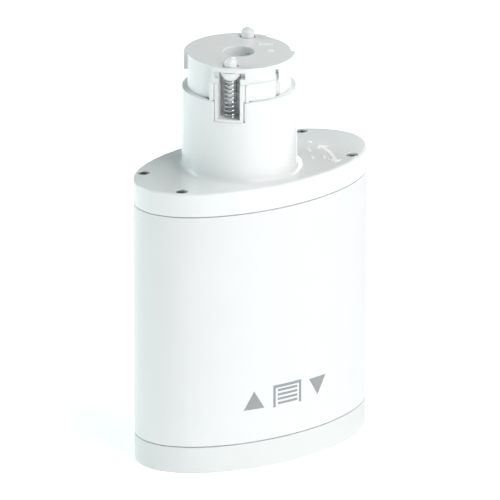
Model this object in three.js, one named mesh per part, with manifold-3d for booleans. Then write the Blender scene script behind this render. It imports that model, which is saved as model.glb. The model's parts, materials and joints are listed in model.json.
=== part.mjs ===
// Plug-in drive motor for a window covering. An oval housing hangs from a round neck, and the neck's bayonet
// head locks into the drive unit of a track. Inside are a brushed motor, a two-stage planetary gearbox and
// the electronics.
// Millimetres, +Z up. The origin is the centre of the oval base, on the face that the unit stands on.
// +X runs along the oval's long axis. The neck's axis stands towards -X of the oval's centre.
import * as THREE from "three";
import { mergeVertices } from "three/addons/utils/BufferGeometryUtils.js";
import Module from "manifold-3d";

const wasm = await Module();
wasm.setup();

// ---------------------------------------------------------------- driving dimensions
const HALF_LENGTH = 53; // half axes of the oval housing
const HALF_WIDTH = 29.7;
const BASE_TOP = 11.2; // heights of the housing's joints
const SLEEVE_TOP = 109;
const PLATE_TOP = 118.8;
const LEDGE = 152.2;
const HEAD_TOP = 166.2;
const WALL = 1.6; // extruded sleeve
const CAP_WALL = 2.4; // moulded caps
const GAP = 0.3; // between parts that meet without moving
const NECK_X = -5.5; // axis of the neck, motor and gearbox
const NECK_R = 22.8;
const NECK_FOOT_R = 23.05;
const NECK_BORE_R = 20.3;
const PIN_ANGLE = 44; // direction of the two locking pins about the neck's axis, in degrees

const HEAD_R = 20.6;
const LUG_R = 22.1;
const LUG_START = -19.5; // degrees from a locking pin
const LUG_END = 101;
const STOP_START = 57.4;
const SLIT = 5; // degrees, in the skirt before each stop
const RIB = [17.3, 20.8]; // degrees from a locking pin, on both of its sides
const LUG_UNDERSIDE = 161.9;
const STOP_UNDERSIDE = 158.6;
const RIB_TOP = 159.4;
const BORE_R = 6.1;
const CHUTE_HALF = 5.75;
const CHUTE_BOTTOM = 143.9;
const COLLAR_SLOT_HALF = 6.3;
const CHANNEL_HALF = 4.4;
const CHANNEL_FLOOR = 145;
const CHANNEL_TOP = 164.4;
const PIN_REACH = 18; // from the neck's axis to a locking pin's axis
const PIN_TRAVEL = 3.8;

const MODULE = 0.8; // planetary gears, the same in both stages
const SUN_TEETH = 12;
const PLANET_TEETH = 15;
const RING_TEETH = SUN_TEETH + 2 * PLANET_TEETH;
const PLANETS = 3;
const PRESSURE_ANGLE = 25;
const BACKLASH = 0.1; // taken off each tooth's thickness
const PLANET_REACH = (MODULE * (SUN_TEETH + PLANET_TEETH)) / 2;
const RING_GEAR_R = 19.2;

const CAN_R = 18; // brushed motor
const CAN_BOTTOM = 50;
const CAN_TOP = 104.8;
const SHAFT_R = 1.6;

// Self-tapping screws go into ports of the extruded sleeve, at both ends.
const PORTS = [
  [-42.7, -13.2],
  [-42.7, 13.2],
  [37.3, -17.3],
  [37.3, 17.3],
];
const PORT_R = 2.9;
const PORT_HOLE_R = 1.45;

const INLET_X = 22; // what the base carries
const SOCKET_X = -3;
const BUTTON_X = -20;
const LIGHT_X = -29;
const BOARD_Z = 20;

const OVAL_STEPS = 28; // half the number of facets round the oval
const ROUND_STEPS = 20; // half the number of facets round the neck
const INNER_STEPS = 10; // half the number of facets round the motor and gearbox
const FINE_STEPS = 5; // half the number of facets round a small piece
const INNER_FACETS = 2 * INNER_STEPS;
const SMALL_FACETS = 12;

// ---------------------------------------------------------------- materials
const surface = (colour, roughness, metalness) =>
  new THREE.MeshStandardMaterial({ color: colour, roughness, metalness });
const plastic = (colour, roughness = 0.35) => surface(colour, roughness, 0);
const metal = (colour, roughness = 0.35) => surface(colour, roughness, 1);
const MATERIALS = {
  glossWhite: plastic(0xf3f6f5, 0.16),
  satinWhite: plastic(0xf1f4f4, 0.32),
  coupling: plastic(0xe9ecea, 0.4),
  paintedSleeve: plastic(0xf4f6f6, 0.28),
  screwSteel: metal(0x6f7577, 0.4),
  springSteel: metal(0x9aa0a2, 0.25),
  bearingSteel: metal(0xb9bdc0, 0.18),
  gearPlastic: plastic(0xe6e0cf, 0.45),
  gearSteel: metal(0x8f9598, 0.35),
  canSteel: metal(0xa9adae, 0.3),
  magnet: plastic(0x2c2d2f, 0.6),
  copper: metal(0xb4683a, 0.35),
  brass: metal(0xc9a95a, 0.3),
  carbon: plastic(0x242424, 0.7),
  blackPlastic: plastic(0x232527, 0.45),
  rubber: plastic(0x2a2b2c, 0.85),
  board: plastic(0x1f5a3a, 0.5),
  ferrite: plastic(0x3a3b3e, 0.6),
  lead: plastic(0x8e2a24, 0.5),
  clear: plastic(0xdfe8ea, 0.1),
};

// ---------------------------------------------------------------- geometry helpers
const rad = THREE.MathUtils.degToRad;

// A closed geometry as a manifold-3d solid.
function solid(geometry) {
  const bare = geometry.clone();
  bare.deleteAttribute("normal");
  bare.deleteAttribute("uv");
  const merged = mergeVertices(bare, 1e-4);
  return new wasm.Manifold(
    new wasm.Mesh({
      numProp: 3,
      vertProperties: merged.attributes.position.array,
      triVerts: new Uint32Array(merged.index.array),
    }),
  );
}

const join = (...solids) => solids.reduce((all, next) => all.add(next));
const cut = (body, ...tools) => tools.reduce((left, tool) => left.subtract(tool), body);

// A flat outline raised from z0 to z1.
function prism(shape, z0, z1, steps = FINE_STEPS) {
  const options = { depth: z1 - z0, bevelEnabled: false, curveSegments: steps };
  return solid(new THREE.ExtrudeGeometry(shape, options).translate(0, 0, z0));
}

const oval = (inset) => {
  const shape = new THREE.Shape();
  shape.absellipse(0, 0, HALF_LENGTH - inset, HALF_WIDTH - inset, 0, Math.PI * 2);
  return shape;
};

const disc = (r, x = 0, y = 0) => {
  const shape = new THREE.Shape();
  shape.absarc(x, y, r, 0, Math.PI * 2);
  return shape;
};

const rectangle = (x0, x1, y0, y1) =>
  new THREE.Shape([
    new THREE.Vector2(x0, y0),
    new THREE.Vector2(x1, y0),
    new THREE.Vector2(x1, y1),
    new THREE.Vector2(x0, y1),
  ]);

// A piece of a ring between two angles, in degrees.
function sector(inner, outer, from, to, facets = 2 * ROUND_STEPS) {
  const count = Math.ceil(((to - from) / 360) * facets);
  const arc = (r) =>
    Array.from({ length: count + 1 }, (_, i) => {
      const angle = rad(from + ((to - from) * i) / count);
      return new THREE.Vector2(r * Math.cos(angle), r * Math.sin(angle));
    });
  return new THREE.Shape([...arc(outer), ...arc(inner).reverse()]);
}

const block = (x0, x1, y0, y1, z0, z1) => prism(rectangle(x0, x1, y0, y1), z0, z1);
const ovalPrism = (inset, z0, z1) => prism(oval(inset), z0, z1, OVAL_STEPS);
const rod = (r, z0, z1, x = 0, y = 0, steps = FINE_STEPS) => prism(disc(r, x, y), z0, z1, steps);

// A slot with round ends along X.
function stadium(halfLength, r, x = 0, y = 0) {
  const shape = new THREE.Shape();
  const reach = halfLength - r;
  shape.absarc(x + reach, y, r, -Math.PI / 2, Math.PI / 2, false);
  shape.absarc(x - reach, y, r, Math.PI / 2, (3 * Math.PI) / 2, false);
  shape.closePath();
  return shape;
}

// A profile of [radius, height] points turned about Z. It goes round anticlockwise, with the radius to the
// right, and starts and ends on the axis or closes on itself.
function turned(profile, facets = 2 * ROUND_STEPS) {
  const points = profile.map(([r, z]) => new THREE.Vector2(r, z));
  if (profile[0][0] > 0) points.push(points[0].clone());
  return solid(new THREE.LatheGeometry(points, facets).rotateX(Math.PI / 2));
}

const ring = (inner, outer, z0, z1, facets = 2 * ROUND_STEPS) =>
  turned(
    [
      [inner, z0],
      [outer, z0],
      [outer, z1],
      [inner, z1],
    ],
    facets,
  );

// The same solid moved along and turned about the axes, in that order.
function placed(body, { turn = 0, x = 0, y = 0, z = 0 }) {
  const matrix = new THREE.Matrix4().makeRotationZ(rad(turn)).setPosition(x, y, z);
  return body.transform(matrix.toArray());
}

// A solid as a named mesh. Simplifying joins up the flat faces that the cuts and joins split.
function piece(name, body, material) {
  const { vertProperties, triVerts } = body.asOriginal().simplify(1e-3).getMesh();
  const geometry = new THREE.BufferGeometry();
  geometry.setAttribute("position", new THREE.BufferAttribute(new Float32Array(vertProperties), 3));
  geometry.setIndex(new THREE.BufferAttribute(new Uint32Array(triVerts), 1));
  geometry.computeVertexNormals();
  const mesh = new THREE.Mesh(geometry, material);
  mesh.name = name;
  return mesh;
}

// ---------------------------------------------------------------- housing
function bodySleeve() {
  const z0 = BASE_TOP + GAP;
  const z1 = SLEEVE_TOP - GAP;
  const columns = PORTS.map(([x, y]) => rod(PORT_R, z0, z1, x, y).intersect(ovalPrism(WALL / 2, z0, z1)));
  const holes = PORTS.map(([x, y]) => rod(PORT_HOLE_R, z0 - 1, z1 + 1, x, y));
  const tube = cut(ovalPrism(0, z0, z1), ovalPrism(WALL, z0 - 1, z1 + 1));
  return cut(join(tube, ...columns), ...holes);
}

// The lip that a cap pushes into the sleeve, cleared round the sleeve's screw ports.
function capLip(z0, z1) {
  const inset = WALL + GAP;
  const lip = cut(ovalPrism(inset, z0, z1), ovalPrism(inset + WALL, z0 - 1, z1 + 1));
  return cut(lip, ...PORTS.map(([x, y]) => rod(PORT_R + GAP, z0 - 1, z1 + 1, x, y)));
}

const EAR_REACH = 24.5; // from the neck's axis to the gearbox's fixing screws
const PLATE = 3;
const SCREW_HEAD_R = 2.3;
const SCREW_SHANK_R = 1.2;

// Two notches in the neck's rim, where the head's spring chutes come through to the outside. Their sides
// flare out at the neck's face.
function neckNotches() {
  const width = CHUTE_HALF + GAP;
  const flareStart = NECK_R - 1.6;
  const flareEnd = NECK_R + 2;
  const outline = new THREE.Shape([
    new THREE.Vector2(NECK_BORE_R - 3, -width),
    new THREE.Vector2(flareStart, -width),
    new THREE.Vector2(flareEnd, -width - (flareEnd - flareStart)),
    new THREE.Vector2(flareEnd, width + (flareEnd - flareStart)),
    new THREE.Vector2(flareStart, width),
    new THREE.Vector2(NECK_BORE_R - 3, width),
  ]);
  const notch = prism(outline, CHUTE_BOTTOM - GAP, LEDGE + 1);
  return [0, 180].map((turn) => placed(notch, { turn: PIN_ANGLE + turn, x: NECK_X }));
}

function topCap() {
  const fillet = 2.2;
  const corner = Array.from({ length: 4 }, (_, i) => {
    const angle = rad(-90 - i * 30);
    return [NECK_FOOT_R + fillet * (1 + Math.cos(angle)), PLATE_TOP + fillet * (1 + Math.sin(angle))];
  });
  const neck = turned([
    [NECK_BORE_R - 0.5, PLATE_TOP - PLATE],
    [NECK_FOOT_R + fillet, PLATE_TOP - PLATE],
    ...corner,
    [NECK_R, LEDGE],
    [NECK_BORE_R - 0.5, LEDGE],
  ]);
  const shell = cut(
    ovalPrism(0, SLEEVE_TOP, PLATE_TOP),
    ovalPrism(CAP_WALL, SLEEVE_TOP - 1, PLATE_TOP - PLATE),
    ...PORTS.map(([x, y]) => rod(SCREW_HEAD_R + 0.25, PLATE_TOP - 1.9, PLATE_TOP + 1, x, y)),
  );
  const inside = ovalPrism(CAP_WALL / 2, SLEEVE_TOP, PLATE_TOP);
  const columns = PORTS.map(([x, y]) =>
    rod(PORT_R, SLEEVE_TOP, PLATE_TOP - PLATE + 0.1, x, y).intersect(inside),
  );
  const bosses = [-EAR_REACH, EAR_REACH].map((reach) =>
    cut(
      rod(3.2, SLEEVE_TOP - 0.6, PLATE_TOP - PLATE + 0.1, NECK_X + reach),
      rod(SCREW_SHANK_R + 0.2, SLEEVE_TOP - 2, PLATE_TOP - PLATE - 1, NECK_X + reach),
    ),
  );
  const body = join(
    shell,
    placed(neck, { x: NECK_X }),
    capLip(SLEEVE_TOP - 4.5, PLATE_TOP - PLATE + 0.1),
    ...columns,
    ...bosses,
  );
  const shankHoles = PORTS.map(([x, y]) => rod(PORT_HOLE_R + 0.25, SLEEVE_TOP - 1, PLATE_TOP + 1, x, y));
  const bore = rod(NECK_BORE_R, SLEEVE_TOP, LEDGE + 1, NECK_X, 0, ROUND_STEPS);
  return cut(body, bore, ...shankHoles, ...neckNotches());
}

function baseCap() {
  const floor = 2.4;
  const shell = cut(ovalPrism(0, 0, BASE_TOP), ovalPrism(CAP_WALL, floor, BASE_TOP + 1));
  const columns = PORTS.map(([x, y]) =>
    rod(PORT_R + 0.9, 1, BASE_TOP, x, y).intersect(ovalPrism(CAP_WALL / 2, 0, BASE_TOP)),
  );
  const holes = PORTS.flatMap(([x, y]) => [
    rod(PORT_HOLE_R + 0.25, -1, BASE_TOP + 1, x, y),
    rod(SCREW_HEAD_R + 0.4, -1, 4.6, x, y),
  ]);
  const mouths = [
    prism(stadium(10.2, 5.9, INLET_X), -1, floor + 1),
    block(SOCKET_X - 6.9, SOCKET_X + 6.9, -6.8, 6.8, -1, floor + 1),
    rod(2.8, -1, floor + 1, BUTTON_X),
    rod(1.9, -1, floor + 1, LIGHT_X),
  ];
  return cut(join(shell, capLip(floor - 0.1, BASE_TOP + 4.5), ...columns), ...holes, ...mouths);
}

// A pan-head screw that points down, with its head's underside at height 0. length is its shank.
function screw(length, headR = SCREW_HEAD_R, shankR = SCREW_SHANK_R) {
  const head = 1.5;
  const body = turned(
    [
      [0, -length],
      [shankR, -length + 1.2],
      [shankR, 0],
      [headR, 0],
      [headR, head * 0.6],
      [headR * 0.75, head],
      [0, head],
    ],
    10,
  );
  const slot = (along, across) => block(-along, along, -across, across, head - 0.8, head + 1);
  return cut(body, join(slot(1.3, 0.3), slot(0.3, 1.3)));
}

// ---------------------------------------------------------------- bayonet head, with +X towards pin a
function couplingHead() {
  const drum = join(
    ring(BORE_R, HEAD_R, CHANNEL_TOP - 1, HEAD_TOP),
    ring(17.9, HEAD_R, LEDGE + GAP, CHANNEL_TOP),
    ring(17.9, NECK_BORE_R - GAP, 144, LEDGE + 1),
    ring(BORE_R, 8.3, 151, CHANNEL_TOP),
    ring(BORE_R, 18.4, 150.4, 152),
    ring(11.2, 13.4, 143, 151),
  );
  const within = (r, body) => body.intersect(rod(r, 140, HEAD_TOP + 4, 0, 0, ROUND_STEPS));
  let head = drum;
  const tools = [];
  for (const turn of [0, 180]) {
    const at = (from, to, inner, outer, z0, z1) =>
      prism(sector(inner, outer, from + turn, to + turn), z0, z1);
    const side = (body) => placed(body, { turn });
    const chute = (r, z1) =>
      side(within(r, block(12.3, 24, -CHUTE_HALF, CHUTE_HALF, CHUTE_BOTTOM, z1)));
    head = join(
      head,
      at(LUG_START, LUG_END, 19, LUG_R, LUG_UNDERSIDE, HEAD_TOP),
      at(STOP_START, LUG_END, 19, LUG_R, STOP_UNDERSIDE, HEAD_TOP),
      at(-RIB[1], RIB[1], 19, LUG_R, RIB_TOP, LUG_UNDERSIDE + 0.1),
      at(-RIB[1], -RIB[0], 19, NECK_R - 0.2, LEDGE + GAP, RIB_TOP + 0.1),
      at(RIB[0], RIB[1], 19, NECK_R - 0.2, LEDGE + GAP, RIB_TOP + 0.1),
      at(RIB[1] - 0.2, STOP_START - SLIT, 19, LUG_R - 0.8, LEDGE + GAP, RIB_TOP),
      chute(LUG_R, CHANNEL_TOP),
      chute(NECK_R - 0.2, RIB_TOP),
    );
    tools.push(
      side(block(13.6, 25, -CHANNEL_HALF, CHANNEL_HALF, CHANNEL_FLOOR, CHANNEL_TOP)),
      side(block(19, 25, -COLLAR_SLOT_HALF, COLLAR_SLOT_HALF, LUG_UNDERSIDE - 0.1, CHANNEL_TOP)),
      side(rod(3.1, CHANNEL_TOP - 1, HEAD_TOP + 1, PIN_REACH)),
      side(rod(1.6, 149, 153, 0, 15.6)), // a core hole in the drum's floor
      at(STOP_START - SLIT, STOP_START, 19.2, 24, LEDGE - 1, STOP_UNDERSIDE + 0.2),
      at(STOP_START - 6.4, STOP_START - 1.4, 20.8, 24, LUG_UNDERSIDE - 0.2, 164.2),
    );
  }
  return cut(head, ...tools);
}

const PIN_TOP = HEAD_TOP + PIN_TRAVEL;
const COLLAR_TOP = CHANNEL_TOP - GAP;
const COLLAR_FOOT = 160.8;
const STUB_R = 2.6;

// A spring-loaded locking pin: a round-ended stub, a cone-shaped collar that stops it, and a stem inside
// the spring.
function lockingPin() {
  const dome = 1.4;
  const pin = turned(
    [
      [0, 151.5],
      [1.6, 151.5],
      [1.6, COLLAR_FOOT],
      [2.8, COLLAR_FOOT],
      [4.1, COLLAR_FOOT + 1.8],
      [4.1, COLLAR_TOP],
      [STUB_R, COLLAR_TOP],
      [STUB_R, PIN_TOP - dome],
      [STUB_R * 0.87, PIN_TOP - dome * 0.5],
      [STUB_R * 0.5, PIN_TOP - dome * 0.13],
      [0, PIN_TOP],
    ],
    SMALL_FACETS,
  );
  return placed(pin, { x: PIN_REACH }).intersect(rod(LUG_R - 0.2, 140, PIN_TOP + 1, 0, 0, ROUND_STEPS));
}

const SPRING_TURNS = 9;
const SPRING_R = 2.35;
const WIRE_R = 0.33;

class Helix extends THREE.Curve {
  constructor(r, z0, z1, turns) {
    super();
    Object.assign(this, { r, z0, z1, turns });
  }
  getPoint(t) {
    const angle = t * this.turns * Math.PI * 2;
    const z = this.z0 + (this.z1 - this.z0) * t;
    return new THREE.Vector3(this.r * Math.cos(angle), this.r * Math.sin(angle), z);
  }
}

function pinSpring() {
  const z0 = CHANNEL_FLOOR + WIRE_R + 0.1;
  const z1 = COLLAR_FOOT - WIRE_R - 0.1;
  const wire = new THREE.Shape();
  wire.absarc(0, 0, WIRE_R, 0, Math.PI * 2);
  const path = new Helix(SPRING_R, z0, z1, SPRING_TURNS);
  const options = { steps: SPRING_TURNS * 8, extrudePath: path, curveSegments: 2, bevelEnabled: false };
  return placed(solid(new THREE.ExtrudeGeometry(wire, options)), { x: PIN_REACH });
}

// ---------------------------------------------------------------- output shaft and its bearing
const BEARING_BOTTOM = 143.1;
const BEARING_TOP = 150.1;
const OUTPUT_SHAFT_R = 3.9;
const hexagon = (acrossFlats) => {
  const r = acrossFlats / 2 / Math.cos(Math.PI / 6);
  const corner = (i) => new THREE.Vector2(r * Math.cos((i * Math.PI) / 3), r * Math.sin((i * Math.PI) / 3));
  return new THREE.Shape([0, 1, 2, 3, 4, 5].map(corner));
};

function outputCoupling() {
  const spindle = turned([
    [0, 139],
    [OUTPUT_SHAFT_R, 139],
    [OUTPUT_SHAFT_R, 142],
    [3.4, 142],
    [3.4, 142.9],
    [OUTPUT_SHAFT_R, 142.9],
    [OUTPUT_SHAFT_R, BEARING_TOP + 0.1],
    [5.6, BEARING_TOP + 0.1],
    [5.6, 159],
    [5.1, 159.5],
    [0, 159.5],
  ], 2 * FINE_STEPS);
  return cut(join(spindle, prism(hexagon(6), 132.4, 139.5)), prism(hexagon(6.5), 153.5, 161));
}

const bearingOuterRace = () => ring(9.2, 11, BEARING_BOTTOM, BEARING_TOP, INNER_FACETS);
const bearingInnerRace = () => ring(4.05, 5.75, BEARING_BOTTOM, BEARING_TOP, SMALL_FACETS);

const BALLS = 6;
const BALL_R = 1.55;
const BALL_REACH = 7.48;

function bearingBallCage() {
  const middle = (BEARING_BOTTOM + BEARING_TOP) / 2;
  const ball = new THREE.SphereGeometry(BALL_R, 6, 4).translate(BALL_REACH, 0, middle);
  const balls = Array.from({ length: BALLS }, (_, i) => placed(solid(ball), { turn: (i * 360) / BALLS }));
  return join(ring(7, 8.1, middle - 0.5, middle + 0.5, BALLS), ...balls);
}

const retainingRing = () => prism(sector(3.55, 5.6, 30, 330, SMALL_FACETS), 142.1, 142.8);

// ---------------------------------------------------------------- planetary gearbox
// The half angle of a tooth at radius r, in radians, from the involute through the pitch circle.
function halfTooth(teeth, r, thickness) {
  const pitchR = (MODULE * teeth) / 2;
  const baseR = pitchR * Math.cos(rad(PRESSURE_ANGLE));
  const involute = (angle) => Math.tan(angle) - angle;
  const at = Math.acos(Math.min(1, baseR / Math.max(r, baseR)));
  return thickness / 2 / pitchR + involute(rad(PRESSURE_ANGLE)) - involute(at);
}

// A gear's outline. A ring gear's hole is the outline of a gear with thicker, longer teeth.
function gearOutline(teeth, phase, hole = false) {
  const pitchR = (MODULE * teeth) / 2;
  const tipR = pitchR + MODULE * (hole ? 1 : 0.8);
  const rootR = pitchR - MODULE * (hole ? 0.8 : 1);
  const thickness = (Math.PI * MODULE) / 2 + (hole ? BACKLASH : -BACKLASH);
  const flank = [rootR, tipR].map((r) => [r, halfTooth(teeth, r, thickness)]);
  const points = [];
  for (let i = 0; i < teeth; i++) {
    const middle = rad(phase) + (i * 2 * Math.PI) / teeth;
    for (const [r, half] of flank) points.push([r, middle - half]);
    for (const [r, half] of [...flank].reverse()) points.push([r, middle + half]);
  }
  const corner = ([r, angle]) => new THREE.Vector2(r * Math.cos(angle), r * Math.sin(angle));
  return new THREE.Shape(points.map(corner));
}

// The turn of a planet's teeth that meshes with a sun at turn 0, for a planet at that angle around the sun.
const planetPhase = (angle) => angle + 180 - (180 - SUN_TEETH * angle) / PLANET_TEETH;
const RING_PHASE = (180 * (PLANET_TEETH + 1)) / RING_TEETH;
const STAGES = {
  input: { gears: [110.6, 119.4], disc: [119.8, 122] },
  output: { gears: [122.6, 131.8], disc: [132.2, 135] },
};
const CARRIER_R = 14.6;
const PLANET_PIN_R = 1.5;

function ringGear() {
  const hole = prism(gearOutline(RING_TEETH, RING_PHASE, true), 107, 138);
  return cut(rod(RING_GEAR_R, 108.2, 137, 0, 0, INNER_STEPS), hole);
}

function planetGear({ gears: [z0, z1] }, angle) {
  const gear = cut(
    prism(gearOutline(PLANET_TEETH, planetPhase(angle)), z0, z1),
    rod(PLANET_PIN_R + 0.12, z0 - 1, z1 + 1),
  );
  return placed(gear, { x: PLANET_REACH * Math.cos(rad(angle)), y: PLANET_REACH * Math.sin(rad(angle)) });
}

// A carrier's disc with the pins that its planets turn on.
function carrier({ gears: [z0], disc: [z1, z2] }) {
  const pins = Array.from({ length: PLANETS }, (_, i) => {
    const angle = (i * 2 * Math.PI) / PLANETS;
    const x = PLANET_REACH * Math.cos(angle);
    const y = PLANET_REACH * Math.sin(angle);
    return rod(PLANET_PIN_R, z0 - 0.3, z1 + 0.5, x, y);
  });
  return join(rod(CARRIER_R, z1, z2, 0, 0, 12), ...pins);
}

const inputCarrier = () => join(carrier(STAGES.input), prism(gearOutline(SUN_TEETH, 0), 121.5, 131.8));

function outputCarrier() {
  const hub = rod(6.2, 134.5, 136.7, 0, 0, 12);
  return cut(join(carrier(STAGES.output), hub), prism(hexagon(6.4), 131, 138));
}

function gearboxBase() {
  const ears = prism(stadium(EAR_REACH + 4, 4), 105.2, 108);
  const holes = [-EAR_REACH, EAR_REACH].map((x) => rod(SCREW_SHANK_R + 0.3, 104, 109, x));
  const plate = join(rod(RING_GEAR_R, 105.2, 108, 0, 0, INNER_STEPS), ears);
  return cut(plate, rod(5.3, 104, 109, 0, 0, 12), ...holes);
}

const gearboxCover = () => ring(5.2, RING_GEAR_R, 137.2, 139.8, INNER_FACETS);

// ---------------------------------------------------------------- brushed motor
function motorCan() {
  return turned(
    [
      [CAN_R - 1.5, CAN_BOTTOM],
      [CAN_R, CAN_BOTTOM],
      [CAN_R, CAN_TOP - 0.8],
      [CAN_R - 0.8, CAN_TOP],
      [5, CAN_TOP],
      [5, 107.2],
      [SHAFT_R + 0.3, 107.2],
      [SHAFT_R + 0.3, CAN_TOP - 1.6],
      [CAN_R - 1.5, CAN_TOP - 1.6],
    ],
    INNER_FACETS,
  );
}

const magnet = (turn) => prism(sector(13.6, 16.2, turn - 62, turn + 62, INNER_FACETS), 58, 98);

const POLES = 5;
const CORE_Z = [62, 92];

// The armature's laminations: a hub, poles and their curved shoes. grow widens them all round.
function armatureShape(grow, z0, z1) {
  const poles = Array.from({ length: POLES }, (_, i) => {
    const pole = join(
      block(3, 11.5, -1.5 - grow, 1.5 + grow, z0, z1),
      prism(sector(10.8 - grow, 12.9, -28, 28, INNER_FACETS), z0, z1),
    );
    return placed(pole, { turn: (i * 360) / POLES });
  });
  return join(rod(4.4 + grow, z0, z1), ...poles);
}

const armatureCore = () => cut(armatureShape(0, ...CORE_Z), rod(SHAFT_R + 0.1, 61, 93));

function armatureWinding() {
  const z0 = CORE_Z[0] - 3.2;
  const z1 = CORE_Z[1] + 3.2;
  const bundle = ring(4.9, 10.2, z0, z1, 30);
  return cut(bundle, armatureShape(0.3, CORE_Z[0] - 0.3, CORE_Z[1] + 0.3));
}

const commutator = () => ring(SHAFT_R + 0.1, 4, 54, 58.4, SMALL_FACETS);
const brush = (side) => block(side > 0 ? 4.3 : -9, side > 0 ? 9 : -4.3, -1.5, 1.5, 54.6, 57.8);
const motorShaft = () => rod(SHAFT_R, 44, 119.2);
const motorPinion = () =>
  cut(prism(gearOutline(SUN_TEETH, 0), ...STAGES.input.gears), rod(SHAFT_R + 0.1, 110, 120));
const encoderMagnet = () => ring(SHAFT_R + 0.1, 5, 44.2, 46.6, SMALL_FACETS);

function motorEndCap() {
  const cap = join(
    rod(16.2, 50.2, 53.2, 0, 0, INNER_STEPS),
    rod(5, 48.2, 51),
    ring(14.6, 16.2, 53, 57.5, INNER_FACETS),
  );
  const terminals = [-1, 1].map((side) => block(side * 9 - 1.4, side * 9 + 1.4, -7.4, -6.8, 45.8, 51));
  return cut(join(cap, ...terminals), rod(SHAFT_R + 0.3, 47, 60));
}

const DAMPERS = { lower: [61, 69], upper: [90, 98] };
const damper = ([z0, z1]) => {
  const lobe = block(19, 20.7, -2, 2, z0, z1);
  const lobes = Array.from({ length: 6 }, (_, i) => placed(lobe, { turn: 30 + i * 60 }));
  return join(ring(CAN_R + 0.2, 19.8, z0, z1, INNER_FACETS), ...lobes);
};

// ---------------------------------------------------------------- chassis and electronics
const MAIN_BOARD_X = [19, 20.6];
const MAIN_BOARD_HALF = 22;

function chassis() {
  const cradles = Object.values(DAMPERS).flatMap(([z0, z1]) => [
    placed(ring(21.2, 22.9, z0, z1, INNER_FACETS), { x: NECK_X }),
    block(5, 19, 19.6, 22.8, z0, z1),
    block(5, 19, -22.8, -19.6, z0, z1),
  ]);
  const rails = [-22.2, 22.2].map((y) => block(17, 22.6, y - 2, y + 2, 24, 102));
  const posts = [-1, 1].map((side) => rod(2.6, BOARD_Z + 2, 39, 6, side * 17));
  const bulkhead = ovalPrism(4.6, 38, 40).intersect(block(-30, 18.4, -30, 30, 37, 41));
  const grooveHalf = MAIN_BOARD_HALF + 0.3;
  const groove = block(MAIN_BOARD_X[0] - 0.2, MAIN_BOARD_X[1] + 0.2, -grooveHalf, grooveHalf, 22, 103);
  const windows = [rod(7, 37, 41, NECK_X), block(6, 15, -12, -4, 37, 41), block(-26, -14, 6, 14, 37, 41)];
  return cut(join(...cradles, ...rails, ...posts, bulkhead), groove, ...windows);
}

const mainBoard = () => block(...MAIN_BOARD_X, -MAIN_BOARD_HALF, MAIN_BOARD_HALF, 24.6, 99);

function transformer() {
  const [x0, x1] = [MAIN_BOARD_X[1] + 0.3, 39.5];
  const core = cut(block(x0 + 2, x1, -12, 12, 71, 93), block(x0 + 1, x1 + 1, -8.5, 8.5, 75, 89));
  return join(core, block(x0, x1 - 1.5, -9.5, 9.5, 76, 88), block(x0 + 4, x1 - 4, -7, 7, 73, 91));
}

function mainCapacitor() {
  const length = 22;
  const can = turned([[0, 0], [7.4, 0], [8, 0.8], [8, length - 0.8], [7.4, length], [0, length]], 20);
  const along = new THREE.Matrix4().makeRotationY(Math.PI / 2).setPosition(MAIN_BOARD_X[1] + 0.3, 0, 55);
  return can.transform(along.toArray());
}

function connectorBoard() {
  const outline = prism(oval(7.5), BOARD_Z + 0.2, BOARD_Z + 1.8, 16);
  return cut(
    outline,
    ...PORTS.map(([x, y]) => rod(PORT_R + 1, BOARD_Z - 1, BOARD_Z + 3, x, y)),
    ...[-1, 1].map((side) => rod(1.3, BOARD_Z - 1, BOARD_Z + 3, 6, side * 17)),
  );
}

// A two-pole mains inlet with a slot-shaped mouth.
function powerInlet() {
  const shell = prism(stadium(9.9, 5.6, INLET_X), 0.7, BOARD_Z - 0.1);
  return cut(shell, prism(stadium(7.7, 4.1, INLET_X), -1, 12));
}
const INLET_PIN_SPACING = 7.2;
const inletPin = (side) => rod(1.15, 3, 11.7, INLET_X + (side * INLET_PIN_SPACING) / 2);

// A modular control socket.
function controlSocket() {
  const shell = block(SOCKET_X - 6.6, SOCKET_X + 6.6, -6.5, 6.5, 0.7, BOARD_Z - 0.1);
  const mouth = block(SOCKET_X - 4.9, SOCKET_X + 4.9, -3.6, 4, -1, 12);
  const latch = block(SOCKET_X - 2, SOCKET_X + 2, 3, 5.4, -1, 12);
  const comb = block(SOCKET_X - 3.4, SOCKET_X + 3.4, -3.8, -2.7, 4, 12.1); // carries the contacts
  return join(cut(shell, mouth, latch), comb);
}

const BUTTON_TRAVEL = 1;
function setupButton() {
  const cap = [[0, 0.6], [2, 0.6], [2.4, 1], [2.4, 2.9]];
  const flangeAndStem = [[3.6, 2.9], [3.6, 4.2], [1.2, 4.2], [1.2, 16.6], [0, 16.6]];
  return placed(turned([...cap, ...flangeAndStem], SMALL_FACETS), { x: BUTTON_X });
}
const setupSwitch = () => join(block(-23, -17, -3, 3, 18.4, BOARD_Z), rod(1.7, 17.8, 19, BUTTON_X));

function statusLightPipe() {
  const lens = [[0, 0.7], [1.6, 0.7], [1.6, 2.8]];
  const flangeAndStem = [[2.4, 2.8], [2.4, 3.8], [1.6, 3.8], [1.6, 18], [0, 18]];
  return placed(turned([...lens, ...flangeAndStem], SMALL_FACETS), { x: LIGHT_X });
}

function motorLead() {
  const route = new THREE.CatmullRomCurve3([
    new THREE.Vector3(NECK_X + 9, -7.1, 45.4),
    new THREE.Vector3(NECK_X + 9, -7.6, 43.8),
    new THREE.Vector3(NECK_X + 12, -9, 42.6),
    new THREE.Vector3(NECK_X + 17, -10, 42.6),
    new THREE.Vector3(NECK_X + 21, -10, 43.6),
    new THREE.Vector3(MAIN_BOARD_X[0] - 0.4, -10, 46),
  ]);
  const options = { steps: 12, extrudePath: route, curveSegments: 3, bevelEnabled: false };
  return solid(new THREE.ExtrudeGeometry(disc(0.9), options));
}

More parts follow.
